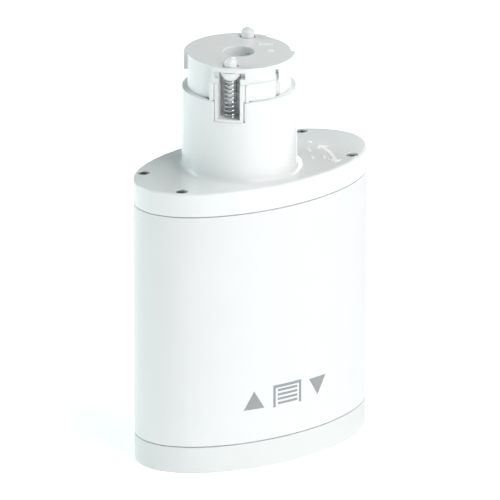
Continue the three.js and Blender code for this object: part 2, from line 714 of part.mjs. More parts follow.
// ---------------------------------------------------------------- assembly
const unit = new THREE.Group();
const axis = new THREE.Group(); // the neck's axis: motor, gearbox and output
const head = new THREE.Group(); // the bayonet head, turned so that +X points at pin a
axis.position.x = NECK_X;
head.rotation.z = rad(PIN_ANGLE + 180);
axis.add(head);
unit.add(axis);

unit.add(
  piece("body_sleeve", bodySleeve(), MATERIALS.paintedSleeve),
  piece("top_cap", topCap(), MATERIALS.glossWhite),
  piece("base_cap", baseCap(), MATERIALS.satinWhite),
  piece("chassis", chassis(), MATERIALS.blackPlastic),
  piece("main_board", mainBoard(), MATERIALS.board),
  piece("transformer", transformer(), MATERIALS.ferrite),
  piece("main_capacitor", mainCapacitor(), MATERIALS.blackPlastic),
  piece("connector_board", connectorBoard(), MATERIALS.board),
  piece("power_inlet", powerInlet(), MATERIALS.blackPlastic),
  piece("inlet_pin_1", inletPin(-1), MATERIALS.brass),
  piece("inlet_pin_2", inletPin(1), MATERIALS.brass),
  piece("control_socket", controlSocket(), MATERIALS.blackPlastic),
  piece("setup_button", setupButton(), MATERIALS.coupling),
  piece("setup_switch", setupSwitch(), MATERIALS.blackPlastic),
  piece("status_light_pipe", statusLightPipe(), MATERIALS.clear),
  piece("motor_lead", motorLead(), MATERIALS.lead),
);

PORTS.forEach(([x, y], i) => {
  const capScrew = piece(`cap_screw_${i + 1}`, screw(14), MATERIALS.screwSteel);
  capScrew.position.set(x, y, PLATE_TOP - 1.9);
  const baseScrew = piece(`base_screw_${i + 1}`, screw(12), MATERIALS.screwSteel);
  baseScrew.position.set(x, y, 4.6);
  baseScrew.rotation.x = Math.PI;
  unit.add(capScrew, baseScrew);
});

head.add(piece("coupling_head", couplingHead(), MATERIALS.coupling));
["a", "b"].forEach((letter, i) => {
  const pin = piece(`locking_pin_${letter}`, lockingPin(), MATERIALS.glossWhite);
  const spring = piece(`pin_spring_${letter}`, pinSpring(), MATERIALS.springSteel);
  pin.rotation.z = i * Math.PI;
  spring.rotation.z = i * Math.PI;
  head.add(pin, spring);
});

axis.add(
  piece("output_coupling", outputCoupling(), MATERIALS.gearSteel),
  piece("bearing_outer_race", bearingOuterRace(), MATERIALS.bearingSteel),
  piece("bearing_inner_race", bearingInnerRace(), MATERIALS.bearingSteel),
  piece("bearing_ball_cage", bearingBallCage(), MATERIALS.brass),
  piece("retaining_ring", retainingRing(), MATERIALS.springSteel),
  piece("ring_gear", ringGear(), MATERIALS.gearPlastic),
  piece("gearbox_base", gearboxBase(), MATERIALS.gearSteel),
  piece("gearbox_cover", gearboxCover(), MATERIALS.gearPlastic),
  piece("output_carrier", outputCarrier(), MATERIALS.gearSteel),
  piece("input_carrier", inputCarrier(), MATERIALS.gearSteel),
  piece("motor_pinion", motorPinion(), MATERIALS.brass),
  piece("motor_shaft", motorShaft(), MATERIALS.bearingSteel),
  piece("motor_can", motorCan(), MATERIALS.canSteel),
  piece("motor_magnet_1", magnet(0), MATERIALS.magnet),
  piece("motor_magnet_2", magnet(180), MATERIALS.magnet),
  piece("armature_core", armatureCore(), MATERIALS.canSteel),
  piece("armature_winding", armatureWinding(), MATERIALS.copper),
  piece("commutator", commutator(), MATERIALS.copper),
  piece("motor_brush_1", brush(-1), MATERIALS.carbon),
  piece("motor_brush_2", brush(1), MATERIALS.carbon),
  piece("motor_end_cap", motorEndCap(), MATERIALS.blackPlastic),
  piece("encoder_magnet", encoderMagnet(), MATERIALS.magnet),
  piece("damper_lower", damper(DAMPERS.lower), MATERIALS.rubber),
  piece("damper_upper", damper(DAMPERS.upper), MATERIALS.rubber),
);
for (const [stage, sizes] of Object.entries(STAGES)) {
  for (let i = 0; i < PLANETS; i++) {
    const planet = planetGear(sizes, (i * 360) / PLANETS);
    axis.add(piece(`${stage}_planet_${i + 1}`, planet, MATERIALS.gearPlastic));
  }
}

export default unit;
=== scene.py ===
# A plug-in track motor: an oval housing with a round bayonet neck, looked at slightly from above.
# Shapes are built in millimetres, in the CAD model's frame, and scaled to metres when they are finished.
import bmesh
import bpy
import json
import math
from mathutils import Matrix, Vector


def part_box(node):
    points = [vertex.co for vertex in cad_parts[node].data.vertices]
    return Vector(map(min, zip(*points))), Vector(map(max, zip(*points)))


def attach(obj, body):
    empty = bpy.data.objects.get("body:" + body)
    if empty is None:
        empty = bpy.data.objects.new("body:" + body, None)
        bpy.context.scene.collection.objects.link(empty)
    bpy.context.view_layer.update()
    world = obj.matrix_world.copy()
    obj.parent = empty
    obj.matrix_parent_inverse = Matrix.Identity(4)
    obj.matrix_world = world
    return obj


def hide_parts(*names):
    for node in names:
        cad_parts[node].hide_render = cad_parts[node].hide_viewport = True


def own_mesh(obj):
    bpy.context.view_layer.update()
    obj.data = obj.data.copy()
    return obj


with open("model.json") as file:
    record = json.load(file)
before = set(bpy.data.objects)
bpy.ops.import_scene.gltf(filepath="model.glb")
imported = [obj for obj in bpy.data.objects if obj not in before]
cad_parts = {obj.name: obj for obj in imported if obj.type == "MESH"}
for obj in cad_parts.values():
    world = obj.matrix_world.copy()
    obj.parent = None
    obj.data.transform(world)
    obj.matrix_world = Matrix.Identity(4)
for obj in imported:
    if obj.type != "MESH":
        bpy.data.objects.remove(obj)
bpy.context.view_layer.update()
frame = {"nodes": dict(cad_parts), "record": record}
scene = bpy.context.scene
MM = 0.001


# ---------------------------------------------------------------- places taken from the CAD model
def limit(node, end, axis):
    """Where a CAD node begins (end 0) or ends (end 1) along an axis (0, 1 or 2), in millimetres."""
    return round(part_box(node)[end][axis] / MM, 2)


def centre(node):
    """The middle of a CAD node as seen from above, in millimetres."""
    low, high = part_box(node)
    return tuple(round((low[axis] + high[axis]) / 2 / MM, 2) for axis in (0, 1))


SEAM = 0.3  # shadow gap between two mouldings
HALF_LENGTH = limit("body_sleeve", 1, 0)  # half axes of the oval housing
HALF_WIDTH = limit("body_sleeve", 1, 1)
BASE_TOP = round(limit("body_sleeve", 0, 2) - SEAM, 2)  # heights of the housing's joints
SLEEVE_TOP = round(limit("body_sleeve", 1, 2) + SEAM, 2)
LEDGE = limit("top_cap", 1, 2)  # the neck's rim
HEAD_TOP = limit("coupling_head", 1, 2)
PIN_TRAVEL = round(limit("locking_pin_a", 1, 2) - HEAD_TOP, 2)  # a pressed pin is flush with the head
NECK_X = centre("output_coupling")[0]  # the axis of the neck and head
pin_way = Vector(centre("locking_pin_a")) - Vector((NECK_X, 0))
PIN_REACH = round(pin_way.length, 1)  # from that axis to a locking pin's axis
PIN_ANGLE = round(math.degrees(math.atan2(pin_way.y, pin_way.x)) % 360, 1)
PORTS = [centre(f"cap_screw_{i}") for i in (1, 2, 3, 4)]  # the screws' axes
INLET_X = centre("power_inlet")[0]  # what the underside carries
SOCKET_X = centre("control_socket")[0]
BUTTON_X = centre("setup_button")[0]
LIGHT_X = centre("status_light_pipe")[0]

# ---------------------------------------------------------------- dimensions, in millimetres
PLATE_TOP = 118.8
PLATE = 3.0  # thickness of the top plate
CAP_WALL = 2.4
SLEEVE_WALL = 1.6
NECK_R = 22.8
NECK_FOOT_R = 23.05
NECK_BORE_R = 20.3
FILLET = 2.2  # round the neck's foot
NOTCH_GAP = 0.06  # between a spring chute and its notch in the neck
SINK_R = 2.45  # a screw's recess in the top plate
SINK_DEPTH = 1.9
WELL_R = 2.7  # a screw's well in the base
WELL_DEPTH = 4.6
SCREW_HOLE_R = 1.7

HEAD_R = 20.6  # the bayonet head
SKIRT_BORE_R = 17.9
LUG_R = 22.1
LUG_START = -19.5  # angles are in degrees from a locking pin
LUG_END = 101
STOP_START = 57.4
SLIT_Y = (16.95, 18.2)  # across the line between the pins
SLIT_FLOOR = 9.5  # along that line
RIB = (17.3, 20.8)
LUG_UNDERSIDE = 161.9
STOP_UNDERSIDE = 158.6
RIB_TOP = 159.4
BORE_R = 6.1
CHUTE_HALF = 5.75  # spring chute: half its width, and its lower end
CHUTE_BOTTOM = 143.9
COLLAR_SLOT_HALF = 6.3
CHANNEL_HALF = 4.4  # the channel in a chute, where the spring stands
CHANNEL_FLOOR = 145.0
CHANNEL_TOP = 164.4

PIN_R = 2.6
COLLAR_R = 4.1
COLLAR_FOOT = 160.8
SPRING_R = 2.35  # to the middle of the wire
WIRE_R = 0.33
SPRING_TURNS = 9.5
SPRING_TOP = 160.4

PRINT_START = 243.2  # degrees round the oval to where the printed marks begin
PRINT_LENGTH = 46.0
PRINT_Z = 24.6
PRINT_LIFT = 0.015  # a printed mark stands out of the sleeve by this, and dips into it by the next
PRINT_DIP = 0.05
MARK_HEIGHT = 0.3
HEAD_MARK_TURN = -35

ROUND = 144  # sides of a large circle, of the oval and of a small circle
OVAL = 224
SMALL = 40

# ---------------------------------------------------------------- stage, in metres
FLOOR_Z = -0.0001
FLOOR_HALF = 4.0
GLOW = 0.45  # the floor's own light, how far it reaches in full and how far it fades after that
GLOW_REACH = 0.75
GLOW_FADE = 0.5
VIEW_TURN = math.radians(-35.2)
VIEW_TILT = math.radians(20.4)
DISTANCE = 3.7
SPAN = 0.2  # width of the picture at the object
SENSOR = 36
AIM_HEIGHT = 0.08082  # the point that the camera faces
AIM_LEFT = 0.00027
LIGHT_DISTANCE = 1.3
LIGHT_HEIGHT = 0.08  # of the point that every lamp faces


# ---------------------------------------------------------------- solids
def solid(verts, faces):
    """A loose mesh object in millimetres."""
    mesh = bpy.data.meshes.new("solid")
    mesh.from_pydata(verts, [], faces)
    bm = bmesh.new()
    bm.from_mesh(mesh)
    bmesh.ops.recalc_face_normals(bm, faces=bm.faces)
    bm.to_mesh(mesh)
    bm.free()
    made = bpy.data.objects.new("solid", mesh)
    scene.collection.objects.link(made)
    return made


def loft(rings, closed=False):
    """A skin over rings of the same length. A closed one joins its last ring to its first, and others are
    capped at both ends."""
    count = len(rings[0])
    verts = [p for r in rings for p in r]
    faces = []
    spans = len(rings) if closed else len(rings) - 1
    for i in range(spans):
        a = i * count
        b = (i + 1) % len(rings) * count
        for j in range(count):
            k = (j + 1) % count
            faces.append((a + j, a + k, b + k, b + j))
    if not closed:
        faces.append(tuple(range(count)))
        faces.append(tuple(range((len(rings) - 1) * count, len(rings) * count)))
    return solid(verts, faces)


def circle(r, z, count=ROUND, x=0.0, y=0.0):
    """A ring of points for loft."""
    steps = [2 * math.pi * i / count for i in range(count)]
    return [(x + r * math.cos(a), y + r * math.sin(a), z) for a in steps]


def on_circle(r, degrees):
    """A point at that angle on the same many-sided ring that circle makes."""
    step = 360 / ROUND
    middle = (math.floor(degrees / step) + 0.5) * step
    reach = r * math.cos(math.radians(step / 2)) / math.cos(math.radians(degrees - middle))
    return reach * math.cos(math.radians(degrees)), reach * math.sin(math.radians(degrees))


def oval_point(a, out):
    """A point of the housing's outline, moved out along its normal."""
    n = Vector((math.cos(a) / HALF_LENGTH, math.sin(a) / HALF_WIDTH)).normalized()
    return HALF_LENGTH * math.cos(a) + out * n.x, HALF_WIDTH * math.sin(a) + out * n.y


def oval(inset, z):
    """The housing's outline as a ring for loft, moved in by inset."""
    return [(*oval_point(2 * math.pi * i / OVAL, -inset), z) for i in range(OVAL)]


def lathe(profile, count=ROUND, x=0.0, y=0.0):
    """A solid of revolution from (radius, height) points. Zero radius at both ends closes it on the axis,
    and otherwise the profile closes on itself."""
    if profile[0][0] > 0:
        return loft([circle(r, z, count, x, y) for r, z in profile], closed=True)
    inner = profile[1:-1]
    verts = [p for r, z in inner for p in circle(r, z, count, x, y)]
    faces = []
    for i in range(len(inner) - 1):
        for j in range(count):
            k = (j + 1) % count
            faces.append((i * count + j, i * count + k, (i + 1) * count + k, (i + 1) * count + j))
    for ring, (_, z) in ((0, profile[0]), (len(inner) - 1, profile[-1])):
        verts.append((x, y, z))
        for j in range(count):
            faces.append((len(verts) - 1, ring * count + j, ring * count + (j + 1) % count))
    return solid(verts, faces)


def rod(r, z0, z1, x=0.0, y=0.0, count=SMALL):
    return loft([circle(r, z0, count, x, y), circle(r, z1, count, x, y)])


def tube(inner, outer, z0, z1):
    return lathe([(inner, z0), (outer, z0), (outer, z1), (inner, z1)])


def prism(outline, z0, z1):
    return loft([[(x, y, z0) for x, y in outline], [(x, y, z1) for x, y in outline]])


def block(x0, x1, y0, y1, z0, z1):
    return prism([(x0, y0), (x1, y0), (x1, y1), (x0, y1)], z0, z1)


def sector(inner, outer, start, end, z0, z1):
    """Part of a ring between two angles, in degrees."""
    step = 360 / ROUND
    between = [step * i for i in range(math.floor(start / step) + 1, math.ceil(end / step))]
    angles = [start] + between + [end]
    outline = [on_circle(outer, a) for a in angles]
    outline += [on_circle(inner, a) for a in reversed(angles)]
    return prism(outline, z0, z1)


def stadium(half_length, r, x, count=24):
    """A slot with round ends along X, with its middle at x."""
    reach = half_length - r
    outline = []
    for sign, start in ((1, -90), (-1, 90)):
        for i in range(count + 1):
            a = math.radians(start + 180 * i / count)
            outline.append((x + sign * reach + r * math.cos(a), r * math.sin(a)))
    return outline


def rounded(x0, x1, y0, y1, r, count=6):
    """A rectangle with round corners."""
    outline = []
    corners = ((x1 - r, y0 + r, -90), (x1 - r, y1 - r, 0), (x0 + r, y1 - r, 90), (x0 + r, y0 + r, 180))
    for cx, cy, start in corners:
        for i in range(count + 1):
            a = math.radians(start + 90 * i / count)
            outline.append((cx + r * math.cos(a), cy + r * math.sin(a)))
    return outline


def turn(body, degrees=0.0, x=0.0, y=0.0, z=0.0):
    """Turns a body about the vertical through the origin, then moves it."""
    body.data.transform(Matrix.Translation((x, y, z)) @ Matrix.Rotation(math.radians(degrees), 4, "Z"))
    return body


def applied(body):
    """Makes the body's modifiers part of its mesh."""
    bpy.context.view_layer.update()
    shape = bpy.data.meshes.new_from_object(body.evaluated_get(bpy.context.evaluated_depsgraph_get()))
    body.modifiers.clear()
    body.data = shape
    return body


def combine(body, tools, operation):
    """Joins, cuts or intersects a body with tools, which it uses up."""
    for tool in tools:
        modifier = body.modifiers.new("combine", "BOOLEAN")
        modifier.operation = operation
        modifier.solver = "MANIFOLD"
        modifier.object = tool
    applied(body)
    for tool in tools:
        bpy.data.objects.remove(tool)
    return body


def join(body, *tools):
    return combine(body, tools, "UNION")


def cut(body, *tools):
    return combine(body, tools, "DIFFERENCE")


def within(body, tool):
    return combine(body, [tool], "INTERSECT")


def soften(body, width, segments=2, angle=32):
    """Rounds the body's sharp edges."""
    bm = bmesh.new()
    bm.from_mesh(body.data)
    bmesh.ops.remove_doubles(bm, verts=bm.verts, dist=0.003)
    bmesh.ops.dissolve_degenerate(bm, edges=bm.edges, dist=0.003)
    bmesh.ops.dissolve_limit(bm, angle_limit=math.radians(0.1), verts=bm.verts, edges=bm.edges)
    bm.to_mesh(body.data)
    bm.free()
    modifier = body.modifiers.new("soften", "BEVEL")
    modifier.width = width
    modifier.segments = segments
    modifier.limit_method = "ANGLE"
    modifier.angle_limit = math.radians(angle)
    modifier.use_clamp_overlap = False
    return applied(body)


# ---------------------------------------------------------------- finished pieces
SHARP = 38  # edges bent by more degrees than this stay sharp in the shading


def piece(body, name, material, ride, replaces=()):
    """Names a body, scales it to metres, shades it smooth, gives it a material and ties it to its CAD body.

    replaces lists the CAD nodes that it stands for.
    """
    body.name = name
    body.data.name = name
    body.data.transform(Matrix.Scale(MM, 4))
    body.data.polygons.foreach_set("use_smooth", [True] * len(body.data.polygons))
    body.data.set_sharp_from_angle(angle=math.radians(SHARP))
    body.data.materials.clear()
    body.data.materials.append(material)
    modifier = body.modifiers.new("normals", "WEIGHTED_NORMAL")
    modifier.keep_sharp = True
    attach(body, ride)
    if replaces:
        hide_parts(*replaces)
    return body


# ---------------------------------------------------------------- materials
COLOUR_CLOUD = 55  # cells per metre in which colour and gloss vary
GLOSS_CLOUD = 180
CORNER_SHADE_REACH = 0.6  # painted shade darkens the colour this close to a corner, in millimetres
# the colour of that painted shade, as a share of the surface's own colour
CORNER_SHADE_TONE = 0.35


def new_material(name):
    material = bpy.data.materials.new(name)
    material.use_nodes = True
    return material, material.node_tree.nodes, material.node_tree.links


def finish(name, colour, roughness, metallic=0.0, grain=900, grain_height=0.004, spread=0.04, corner_shade=0.1,
           stretch=(1, 1, 1), specular=0.5):
    """A moulded, painted or machined surface: uneven colour and gloss, fine grain, and painted shade in its
    corners.

    grain is in cells per metre and grain_height in millimetres. spread is how far colour and gloss vary, and
    corner_shade how dark the painted shade in the corners gets. stretch draws the pattern out along an axis,
    as on turned metal.
    """
    material, nodes, links = new_material(name)
    shader = nodes["Principled BSDF"]
    shader.inputs["Metallic"].default_value = metallic
    shader.inputs["Specular IOR Level"].default_value = specular
    place = nodes.new("ShaderNodeTexCoord")
    mapping = nodes.new("ShaderNodeMapping")
    mapping.inputs["Scale"].default_value = stretch
    links.new(place.outputs["Object"], mapping.inputs["Vector"])

    def noise(scale, detail=3.0):
        node = nodes.new("ShaderNodeTexNoise")
        node.inputs["Scale"].default_value = scale
        node.inputs["Detail"].default_value = detail
        links.new(mapping.outputs["Vector"], node.inputs["Vector"])
        return node.outputs["Fac"]

    tint = nodes.new("ShaderNodeMix")
    tint.data_type = "RGBA"
    tint.inputs["A"].default_value = (*colour, 1)
    tint.inputs["B"].default_value = (*[c * (1 - spread) for c in colour], 1)
    links.new(noise(COLOUR_CLOUD), tint.inputs["Factor"])
    # Painted shade: the colour darkens where ambient occlusion finds another surface close by, in corners,
    # recesses and gaps between parts.
    shade = nodes.new("ShaderNodeAmbientOcclusion")
    shade.inputs["Distance"].default_value = CORNER_SHADE_REACH * MM
    shade.samples = 4
    shade_amount = nodes.new("ShaderNodeMapRange")
    shade_amount.inputs["From Min"].default_value = 0.2
    shade_amount.inputs["From Max"].default_value = 0.9
    shade_amount.inputs["To Min"].default_value = corner_shade
    shade_amount.inputs["To Max"].default_value = 0.0
    links.new(shade.outputs["AO"], shade_amount.inputs["Value"])
    shaded_colour = nodes.new("ShaderNodeMix")
    shaded_colour.data_type = "RGBA"
    shaded_colour.inputs["B"].default_value = (*[c * CORNER_SHADE_TONE for c in colour], 1)
    links.new(shade_amount.outputs["Result"], shaded_colour.inputs["Factor"])
    links.new(tint.outputs["Result"], shaded_colour.inputs["A"])
    links.new(shaded_colour.outputs["Result"], shader.inputs["Base Color"])
    gloss = nodes.new("ShaderNodeMapRange")
    gloss.inputs["To Min"].default_value = roughness * (1 - spread)
    gloss.inputs["To Max"].default_value = roughness * (1 + spread)
    links.new(noise(GLOSS_CLOUD), gloss.inputs["Value"])
    links.new(gloss.outputs["Result"], shader.inputs["Roughness"])
    bump = nodes.new("ShaderNodeBump")
    bump.inputs["Strength"].default_value = 0.6
    bump.inputs["Distance"].default_value = grain_height * MM
    links.new(noise(grain, 2.0), bump.inputs["Height"])
    links.new(bump.outputs["Normal"], shader.inputs["Normal"])
    return material


M = {
    "white_gloss": finish("white_gloss_abs", (0.89, 0.915, 0.91), 0.13, grain=420, grain_height=0.003,
                          specular=0.3),
    "white_satin": finish("white_satin_abs", (0.79, 0.81, 0.805), 0.32, grain=2600, specular=0.08),
    "painted_sleeve": finish("white_powder_coat", (0.85, 0.865, 0.865), 0.28, grain=1700, grain_height=0.001,
                             specular=0.08),
    "coupling_white": finish("white_acetal", (0.91, 0.93, 0.925), 0.24, grain=1500, specular=0.2),
    "screw_steel": finish("dark_steel", (0.26, 0.28, 0.28), 0.3, 1.0, 3200, 0.004, 0.2, 0.2),
    "spring_steel": finish("spring_wire", (0.7, 0.73, 0.74), 0.2, 1.0, 5000, 0.001, 0.08, 0.1, (1, 1, 0.2)),
    "bearing_steel": finish("ground_steel", (0.62, 0.64, 0.65), 0.14, 1.0, 5000, 0.001, 0.1, 0.3),
    "gear_plastic": finish("natural_acetal", (0.78, 0.74, 0.62), 0.4, grain=1800, grain_height=0.004),
    "gear_steel": finish("sintered_steel", (0.42, 0.44, 0.45), 0.38, 1.0, 6000, 0.006, 0.2, 0.3),
    "can_steel": finish("plated_steel", (0.55, 0.57, 0.57), 0.3, 1.0, 1500, 0.004, 0.15, 0.3, (1, 1, 0.1)),
    "magnet": finish("ferrite_magnet", (0.09, 0.09, 0.1), 0.55, grain=4000, grain_height=0.01, spread=0.25),
    "copper": finish("enamelled_copper", (0.62, 0.28, 0.13), 0.3, 1.0, 2600, 0.03, 0.25, 0.4, (1, 1, 6)),
    "brass": finish("brass", (0.72, 0.56, 0.26), 0.22, 1.0, 3000, 0.002, 0.12, 0.3),
    "carbon": finish("carbon", (0.03, 0.03, 0.03), 0.6, grain=6000, grain_height=0.01, spread=0.3),
    "black_plastic": finish("black_moulding", (0.025, 0.026, 0.028), 0.42, grain=3600, grain_height=0.01,
                            spread=0.2),
    "rubber": finish("rubber", (0.03, 0.03, 0.032), 0.75, grain=2600, grain_height=0.02, spread=0.25),
    "board": finish("solder_mask", (0.02, 0.14, 0.06), 0.3, grain=1200, grain_height=0.006, spread=0.25),
    "ferrite": finish("varnished_iron", (0.08, 0.08, 0.09), 0.4, 0.6, 2500, 0.02, 0.3, 0.3, (1, 1, 8)),
    "lead": finish("red_insulation", (0.42, 0.04, 0.03), 0.4, grain=2000, grain_height=0.004, spread=0.12),
    "clear": finish("clear_acrylic", (0.8, 0.85, 0.87), 0.08, grain=800, grain_height=0.002, corner_shade=0.1),
    # Painted highlight: the raised marks are moulded in the plastic they stand on, and this brighter white
    # stands in for the highlights along them.
    "mark_white": finish("white_mark_painted_highlight", (0.98, 0.985, 0.985), 0.4, grain=2600, grain_height=0.002,
                         corner_shade=0.0),
    "ink": finish("grey_ink", (0.34, 0.36, 0.37), 0.4, grain=2600, grain_height=0.003, spread=0.1,
                  corner_shade=0.0),
}

for name, node in frame["nodes"].items():
    node_slot = next(s["material_slot"] for s in frame["record"]["subparts"] if s["node"] == name)
    node.data.materials.clear()
    node.data.materials.append(M[node_slot])


# ---------------------------------------------------------------- housing
def arc(cx, cz, r, start, end, steps):
    """Points of a profile's rounded corner, from one angle to another in degrees."""
    angles = [math.radians(start + (end - start) * i / steps) for i in range(steps + 1)]
    return [(cx + r * math.cos(a), cz + r * math.sin(a)) for a in angles]


def edge(z, r, up, steps=4):
    """(inset, height) points round an edge of the oval housing, outside first. up: it is a top edge."""
    sign = 1 if up else -1
    angles = [math.radians(90 * i / steps) for i in range(steps + 1)]
    return [(r * (1 - math.cos(a)), z - sign * r * (1 - math.sin(a))) for a in angles]


JOINT_EDGE = 0.3  # edge radii
PLATE_EDGE = 0.8
BASE_EDGE = 0.6
RIM_EDGE = 0.4

sleeve_low = BASE_TOP + SEAM
sleeve_high = SLEEVE_TOP - SEAM
sleeve_edges = edge(sleeve_high, JOINT_EDGE, True) + [(SLEEVE_WALL, sleeve_high), (SLEEVE_WALL, sleeve_low)]
sleeve_edges += list(reversed(edge(sleeve_low, JOINT_EDGE, False)))
sleeve = loft([oval(i, z) for i, z in sleeve_edges], closed=True)
piece(sleeve, "sleeve", M["painted_sleeve"], "housing", ["body_sleeve"])

cup = [(CAP_WALL, PLATE_TOP - PLATE), (CAP_WALL, SLEEVE_TOP)]
cup += list(reversed(edge(SLEEVE_TOP, JOINT_EDGE, False))) + edge(PLATE_TOP, PLATE_EDGE, True, 6)
cap = loft([oval(i, z) for i, z in cup])
inside = 19  # within the neck's bore, which is cut afterwards
corner = arc(NECK_FOOT_R + FILLET, PLATE_TOP + FILLET, FILLET, -90, -180, 10)
rim = arc(NECK_R - RIM_EDGE, LEDGE - RIM_EDGE, RIM_EDGE, 0, 90, 4)
foot = [(inside, PLATE_TOP - PLATE), (NECK_FOOT_R + FILLET, PLATE_TOP - PLATE)]
neck = lathe(foot + corner + rim + [(inside, LEDGE)], x=NECK_X)
bore = rod(NECK_BORE_R, 100, LEDGE + 9, NECK_X, count=ROUND)


def neck_notch():
    """A notch in the neck's rim for a chute. Its sides flare out at the neck's face."""
    half = CHUTE_HALF + NOTCH_GAP
    low = CHUTE_BOTTOM - NOTCH_GAP
    rings = []
    for x, grow in ((NECK_R - 1.6, 0.0), (NECK_R + 2, 3.6)):
        y = half + grow
        rings.append([(x, -y, low), (x, y, low), (x, y, LEDGE + 1), (x, -y, LEDGE + 1)])
    return join(block(16, NECK_R - 1.5, -half, half, low, LEDGE + 1), loft(rings))


notches = [turn(neck_notch(), PIN_ANGLE + about, NECK_X) for about in (0, 180)]
sink = [(0, PLATE_TOP - SINK_DEPTH), (SINK_R, PLATE_TOP - SINK_DEPTH), (SINK_R, PLATE_TOP - 0.2),
        (SINK_R + 0.2, PLATE_TOP + 0.02), (SINK_R + 0.2, PLATE_TOP + 2), (0, PLATE_TOP + 2)]
sinks = [lathe(sink, SMALL, x, y) for x, y in PORTS]
holes = [rod(SCREW_HOLE_R, 112, 121, x, y) for x, y in PORTS]
cap = join(cap, neck)
cap = cut(cap, bore, *notches, *sinks, *holes)
piece(cap, "cap_and_neck", M["white_gloss"], "housing", ["top_cap"])

tray = [(CAP_WALL, CAP_WALL), (CAP_WALL, BASE_TOP)] + list(reversed(edge(BASE_TOP, JOINT_EDGE, True)))
tray += edge(0, BASE_EDGE, False, 6)
base = loft([oval(i, z) for i, z in tray])
ways = [prism(stadium(10.2, 5.9, INLET_X), -1, 4),
        prism(rounded(SOCKET_X - 6.9, SOCKET_X + 6.9, -6.8, 6.8, 0.5), -1, 4),
        rod(2.8, -1, 4, BUTTON_X), rod(1.9, -1, 4, LIGHT_X)]
well = [(0, WELL_DEPTH), (WELL_R, WELL_DEPTH), (WELL_R, 0.2), (WELL_R + 0.25, -0.05), (WELL_R + 0.25, -1),
        (0, -1)]
ways += [lathe(well, SMALL, x, y) for x, y in PORTS]
in_the_wall = CAP_WALL / 2
columns = [within(rod(3.8, 1, BASE_TOP, x, y), loft([oval(in_the_wall, 0), oval(in_the_wall, 12)]))
           for x, y in PORTS]
base = join(base, *columns)
base = cut(base, *ways, *[rod(SCREW_HOLE_R, -1, 20, x, y) for x, y in PORTS])
piece(base, "base", M["white_satin"], "housing", ["base_cap"])


# ---------------------------------------------------------------- screws
def screw(length):
    """A pan-head cross-recessed screw pointing down, with its head's underside at height 0."""
    shank_r = 1.2
    head_r = 2.25
    half = 0.75  # of the head's height
    head = arc(head_r - half, half, half, 0, 90, 5)
    shank = [(0, -length), (0.25, -length), (shank_r, -length + 1.4), (shank_r, 0), (head_r, 0),
             (head_r, half)]
    body = lathe(shank + head[1:] + [(0, 2 * half)], SMALL)
    cross = [block(-1.25, 1.25, -0.27, 0.27, half, 3), block(-0.27, 0.27, -1.25, 1.25, half, 3)]
    return soften(cut(body, *cross), 0.05, 1, 50)


def screw_piece(body, node):
    piece(body, f"{node}_fine", M["screw_steel"], "housing", [node])


for i, (x, y) in enumerate(PORTS):
    screw_piece(turn(screw(14), 25 + 40 * i, x, y, PLATE_TOP - SINK_DEPTH), f"cap_screw_{i + 1}")
    low = screw(12)
    low.data.transform(Matrix.Rotation(math.pi, 4, "X"))
    screw_piece(turn(low, 15 + 55 * i, x, y, WELL_DEPTH), f"base_screw_{i + 1}")


